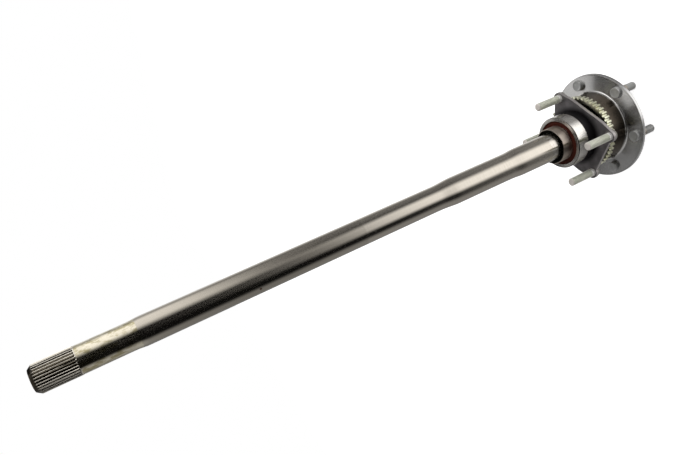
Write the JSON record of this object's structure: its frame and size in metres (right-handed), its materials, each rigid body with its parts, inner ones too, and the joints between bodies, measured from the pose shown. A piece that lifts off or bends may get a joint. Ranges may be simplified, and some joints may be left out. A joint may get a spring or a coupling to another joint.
{
  "type": "axle shaft",
  "caption": "Driven axle half shaft with a wheel flange and studs, toothed sensor ring, loose-turning bearing with studded retainer plate, retaining collar, stepped shaft and splined end.",
  "frame": {"origin": "centre of the flange's wheel face, on the shaft's axis", "axes": "+Z along the shaft towards the splined end, +X along the long side of the retainer plate; the part stands on the tips of its wheel studs"},
  "size_m": [0.1645, 0.1646, 0.8983],
  "materials": {
    "turned_steel": "turned, part dark and oiled",
    "wheel_stud_steel": "satin",
    "yellow_zinc": "yellow passivated zinc",
    "dark_phosphate": "dark phosphate",
    "clear_zinc": "clear zinc",
    "bearing_steel": "ground and polished",
    "cage_steel": "pressed",
    "red_rubber": "matt",
    "collar_steel": "turned and oiled"
  },
  "bodies": {
    "axle": {"axle_shaft": "turned_steel", "wheel_studs": "wheel_stud_steel", "tone_ring": "yellow_zinc", "bearing_inner_ring": "bearing_steel", "retaining_collar": "collar_steel"},
    "bearing_housing": {"bearing_outer_ring": "bearing_steel", "retainer_plate": "dark_phosphate", "retainer_studs": "clear_zinc", "seal_inboard": "red_rubber", "seal_insert_inboard": "cage_steel", "seal_outboard": "red_rubber", "seal_insert_outboard": "cage_steel"},
    "ball_cage": {"bearing_balls": "bearing_steel", "cage_half_inboard": "cage_steel", "cage_half_outboard": "cage_steel", "cage_rivets": "cage_steel"}
  },
  "joints": [
    {"name": "bearing_spin", "type": "hinge", "parent": "axle", "child": "bearing_housing", "pos_m": [0, 0, 0.0835], "axis": [0, 0, 1], "continuous": true},
    {"name": "cage_spin", "type": "hinge", "parent": "axle", "child": "ball_cage", "pos_m": [0, 0, 0.0835], "axis": [0, 0, 1], "continuous": true}
  ],
  "couplings": [
    {"joint": "cage_spin", "follows": "bearing_spin", "ratio": 0.5902}
  ]
}
